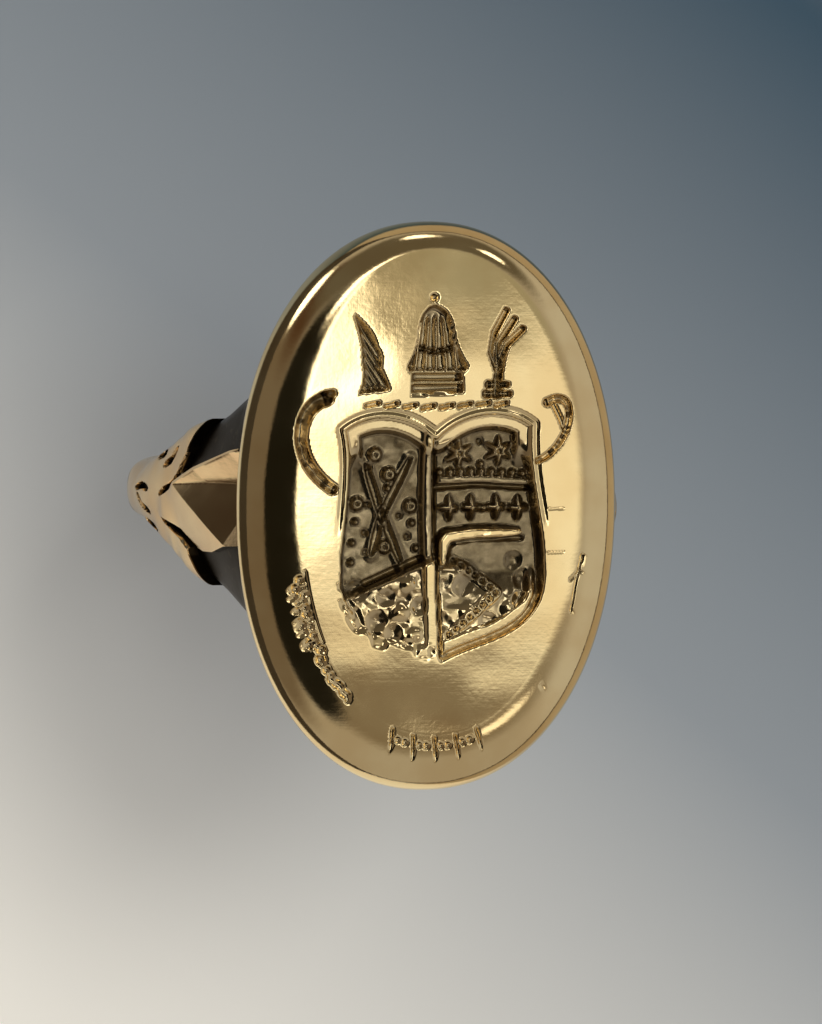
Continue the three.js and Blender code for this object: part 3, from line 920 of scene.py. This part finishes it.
def gold_bump(nodes, place, wear):
    """Hairline scratches along and across, a slow swell, and fine pits."""
    layers = [
        (nodes.noise(place, 900, 3, (1.0, 14.0, 6.0)), 0.0015),
        (nodes.noise(place, 260, 1), 0.05),
        (nodes.noise(place, 900, 3, (12.0, 1.5, 6.0)), 0.001),
        (nodes.noise(place, 5200, 3), 0.004),
    ]
    height = 0.0
    for layer, weight in layers:
        height = nodes.math("ADD", height, nodes.math("MULTIPLY", layer, weight))
    return nodes.add("ShaderNodeBump", {"Strength": wear, "Distance": 0.001, "Height": height})


def gold(name, bright, deep, roughness, wear, dirt_and_shade_depth, dirt_and_shade_share):
    """Worn gold, darkened by dirt and painted shade where the mesh's cut attribute is deep: the cut
    depths of the seal and the carving, and the painted dark given to the shoulders' arms and walls.
    """
    material = bpy.data.materials.new(name)
    material.use_nodes = True
    nodes = Nodes(material.node_tree)
    place = nodes.add("ShaderNodeTexCoord").outputs["Object"]
    cut = nodes.add("ShaderNodeAttribute", attribute_name="cut").outputs["Fac"]
    grime = nodes.ramp(nodes.noise(place, 3200, 4), 0.3, 0.75, 0.82, 1.0)
    # Darker with depth: dirt in the cuts together with painted shade in them
    deep_enough = nodes.ramp(cut, 0.05, dirt_and_shade_depth, 0.0, dirt_and_shade_share)
    dirt_and_shade = nodes.math("MULTIPLY", deep_enough, grime, clamp=True)
    patches = nodes.ramp(nodes.noise(place, 700, 4), 0.3, 0.7, roughness, roughness + 0.06)
    rough = nodes.math("ADD", patches, nodes.math("MULTIPLY", dirt_and_shade, 0.22), clamp=True)
    colour = gold_colour(nodes, place, cut, dirt_and_shade, bright, deep)
    bump = gold_bump(nodes, place, wear)
    shader = nodes.add(
        "ShaderNodeBsdfPrincipled",
        {"Base Color": colour, "Metallic": 1.0, "Roughness": rough, "Normal": bump.outputs[0]},
    )
    nodes.add("ShaderNodeOutputMaterial", {"Surface": shader.outputs[0]})
    return material


# Surroundings

# The floor's painted light falloff: its tones from pale at the lower left to dark at the upper right, a
# warm tone beyond, and painted darkness far from the ring
FLOOR_PAINTED_FALLOFF = [(0.88, 0.86, 0.81, 1), (0.27, 0.30, 0.335, 1), (0.048, 0.083, 0.12, 1)]
FLOOR_WARM = (0.40, 0.34, 0.26, 1)
FLOOR_FAR_PAINTED_DARK = (0.05, 0.042, 0.035, 1)
FLOOR_SIZE = 0.6  # from its middle to its edges, in metres
FLOOR_STEPS = 24


def floor_material():
    material = bpy.data.materials.new("floor_paper")
    material.use_nodes = True
    nodes = Nodes(material.node_tree)
    place = nodes.add("ShaderNodeTexCoord").outputs["Object"]
    axes = nodes.add("ShaderNodeSeparateXYZ", {"Vector": place})
    x, y = axes.outputs["X"], axes.outputs["Y"]
    slant = nodes.math("ADD", nodes.math("MULTIPLY", x, 0.8), y)
    away = nodes.add("ShaderNodeVectorMath", {0: place}, operation="LENGTH").outputs["Value"]
    changes = [
        (slant, -0.034, 0.002, "LINEAR", FLOOR_PAINTED_FALLOFF[1]),
        (slant, 0.002, 0.034, "LINEAR", FLOOR_PAINTED_FALLOFF[2]),
        (slant, 0.034, 0.045, "SMOOTHSTEP", FLOOR_WARM),
        (x, 0.0215, 0.028, "SMOOTHSTEP", FLOOR_WARM),
        # painted dark towards -X, which the arms mirror as their dark reflection
        (x, -0.024, -0.034, "SMOOTHSTEP", FLOOR_FAR_PAINTED_DARK),
        (away, 0.12, 0.4, "SMOOTHSTEP", FLOOR_FAR_PAINTED_DARK),
    ]
    tone = FLOOR_PAINTED_FALLOFF[0]
    for value, low, high, kind, next_tone in changes:
        tone = nodes.mix(nodes.ramp(value, low, high, kind=kind), tone, next_tone)
    # The floor glows a little, painted light that thins the ring's shadow on it
    shader = nodes.add(
        "ShaderNodeBsdfPrincipled",
        {"Base Color": tone, "Roughness": 0.9, "Emission Color": tone, "Emission Strength": 0.35},
    )
    shader.inputs["Specular IOR Level"].default_value = 0.1
    nodes.add("ShaderNodeOutputMaterial", {"Surface": shader.outputs[0]})
    return material


def floor():
    line = np.linspace(-FLOOR_SIZE, FLOOR_SIZE, FLOOR_STEPS)
    y, x = np.meshgrid(line, line, indexing="ij")
    z = np.full(x.shape, (-HOOP_RADIUS - 0.02) * MM)
    mesh = bpy.data.meshes.new("floor")
    points = np.stack([x, y, z], -1).reshape(-1, 3)
    mesh.from_pydata(points.tolist(), [], grid_faces(FLOOR_STEPS, FLOOR_STEPS).tolist())
    mesh.materials.append(floor_material())
    obj = bpy.data.objects.new("floor", mesh)
    bpy.context.scene.collection.objects.link(obj)


# What the gold reflects, as soft patches on the sky, painted in order: where each is, how far it
# reaches along X, Y and Z, how much of it is its soft edge, and its colour.
SKY_PATCHES = [
    ((-0.9, 0.0, 0.35), (0.7, 1.1, 0.8), 0.4, (0.16, 0.13, 0.10)),
    ((-0.6, 0.65, 0.5), (0.5, 0.5, 0.6), 0.6, (0.08, 0.045, 0.025)),
    ((0.95, 0.0, 0.3), (0.6, 1.0, 0.8), 0.5, (0.50, 0.48, 0.45)),
    ((0.1, -0.36, 0.9), (0.7, 0.30, 0.6), 0.6, (0.22, 0.185, 0.14)),
    ((0.1, 0.72, 0.6), (0.9, 0.6, 0.7), 0.3, (0.12, 0.105, 0.08)),
    ((0.2, 0.16, 0.95), (0.5, 0.20, 0.4), 0.5, (0.36, 0.34, 0.27)),
    ((0.28, -0.07, 0.95), (0.42, 0.17, 0.5), 0.6, (1.0, 0.96, 0.84)),
    ((0.05, 0.04, 1.0), (0.12, 0.18, 0.3), 0.6, (2.8, 2.75, 2.5)),
    ((0.32, -0.35, 0.9), (0.17, 0.07, 0.3), 0.6, (1.6, 1.5, 1.3)),
    ((-0.365, -0.12, 0.87), (0.42, 0.55, 0.7), 0.2, (0.012, 0.011, 0.008)),
    ((-0.02, 0.25, 0.97), (0.2, 0.075, 0.3), 0.5, (3.2, 3.1, 2.9)),
    ((0.1, 0.93, 0.3), (0.14, 0.1, 0.16), 0.5, (3.0, 2.9, 2.7)),
    ((0.5, 0.6, 0.63), (0.1, 0.1, 0.2), 0.5, (2.6, 2.5, 2.3)),
    ((-0.72, 0.66, 0.1), (0.24, 0.24, 0.2), 0.5, (3.4, 3.3, 3.0)),
]
SKY_TONE = (0.40, 0.37, 0.33, 1)


def sky():
    world = bpy.data.worlds.new("studio")
    bpy.context.scene.world = world
    world.use_nodes = True
    nodes = Nodes(world.node_tree)
    direction = nodes.add("ShaderNodeTexCoord").outputs["Generated"]
    colour = SKY_TONE
    for centre, reach, soft, tone in SKY_PATCHES:
        away = nodes.add("ShaderNodeVectorMath", {0: direction, 1: centre}, operation="SUBTRACT")
        scaled = nodes.add("ShaderNodeVectorMath", {0: away.outputs[0], 1: reach}, operation="DIVIDE")
        length = nodes.add("ShaderNodeVectorMath", {0: scaled.outputs[0]}, operation="LENGTH")
        mask = nodes.ramp(length.outputs["Value"], 1 - soft, 1.0, 1.0, 0.0)
        colour = nodes.mix(mask, colour, (*tone, 1))
    background = nodes.add("ShaderNodeBackground", {"Color": colour, "Strength": 1.0})
    nodes.add("ShaderNodeOutputWorld", {"Surface": background.outputs[0]})


def area_light(name, place, size, power, tone):
    """A soft light for the floor. The gold doesn't mirror it, since the sky's patches are what it
    reflects."""
    light = bpy.data.lights.new(name, "AREA")
    light.size, light.energy, light.color = size, power, tone
    obj = bpy.data.objects.new(name, light)
    obj.location = place
    obj.rotation_euler = (-Vector(place)).to_track_quat("-Z", "Y").to_euler()
    obj.visible_glossy = False
    bpy.context.scene.collection.objects.link(obj)


# Camera

YAW, PITCH = math.radians(11.682), math.radians(4.282)
CAMERA_ROLL = math.radians(0.213)
CAMERA_DISTANCE = 179.32
CAMERA_LENS = 166.1
AIM_RIGHT, AIM_UP = 1.370, -0.892


def camera():
    level = math.cos(PITCH)
    towards = Vector((-math.sin(YAW) * level, math.sin(PITCH), math.cos(YAW) * level))
    up = (Vector((0, 1, 0)) - towards * towards.y).normalized()
    right = up.cross(towards)
    data = bpy.data.cameras.new("camera")
    data.lens = CAMERA_LENS
    data.clip_start, data.clip_end = 0.01, 10
    obj = bpy.data.objects.new("camera", data)
    turn = Matrix((right, up, towards)).transposed() @ Matrix.Rotation(CAMERA_ROLL, 3, "Z")
    place = (towards * CAMERA_DISTANCE + right * AIM_RIGHT + up * AIM_UP) * MM
    obj.matrix_world = Matrix.Translation(place) @ turn.to_4x4()
    bpy.context.scene.collection.objects.link(obj)
    bpy.context.scene.camera = obj


def main():
    camera()
    sky()
    floor()
    area_light("overhead_softbox", (0.10, 0.10, 0.30), 0.12, 0.35, (1.0, 0.96, 0.88))

    face_gold = gold(
        "polished_gold", bright=(0.92, 0.74, 0.42), deep=(0.84, 0.64, 0.34),
        roughness=0.06, wear=0.5, dirt_and_shade_depth=0.6, dirt_and_shade_share=0.75,
    )
    body_gold = gold(
        "worn_gold", bright=(0.88, 0.67, 0.38), deep=(0.76, 0.55, 0.29),
        roughness=0.14, wear=0.7, dirt_and_shade_depth=0.4, dirt_and_shade_share=0.8,
    )
    shoulder_gold = gold(
        "carved_gold", bright=(0.90, 0.67, 0.37), deep=(0.78, 0.54, 0.29),
        roughness=0.12, wear=0.7, dirt_and_shade_depth=0.2, dirt_and_shade_share=1.18,
    )
    signet_plate(face_gold)
    bezel_base(body_gold)
    shank(body_gold)
    shoulder("left", shoulder_gold)
    shoulder("right", shoulder_gold)
    bpy.context.scene.view_settings.view_transform = "Standard"


main()
